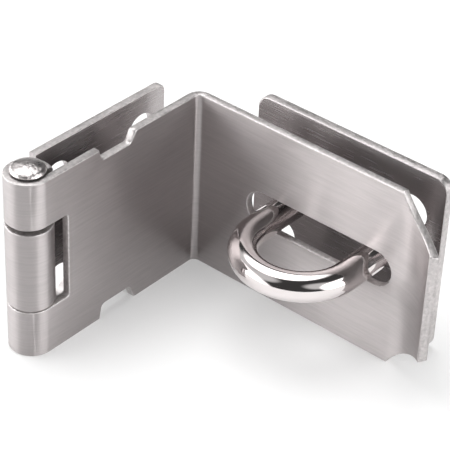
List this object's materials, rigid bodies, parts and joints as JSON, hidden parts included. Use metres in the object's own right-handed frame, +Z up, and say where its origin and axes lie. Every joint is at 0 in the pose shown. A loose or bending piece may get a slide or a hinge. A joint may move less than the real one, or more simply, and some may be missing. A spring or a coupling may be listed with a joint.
{
  "type": "right angle hasp",
  "caption": "Right angle hasp of satin stainless strip: a hinged arm bent to a square corner, slotted to pass over a polished round staple on its own screw plate.",
  "frame": {"origin": "middle of the hinge leaf's screw holes, on the leaf's back face", "axes": "+Z up along the hinge pin, +Y into the wall behind the hinge leaf, +X from the pin to the leaf's free end, which is also into the wall behind the staple plate"},
  "size_m": [0.0646, 0.0788, 0.0469],
  "materials": {
    "strip": "satin",
    "bar": "polished",
    "pin": "polished"
  },
  "bodies": {
    "leaf": {"hinge_leaf": "strip"},
    "arm": {"hasp_arm": "strip", "hinge_pin": "pin", "staple_plate": "strip", "staple": "bar"}
  },
  "joints": [
    {"name": "arm_swing", "type": "hinge", "parent": "leaf", "child": "arm", "pos_m": [-0.025, -0.0053, 0], "axis": [0, 0, -1], "range_deg": [-6, 265]}
  ]
}
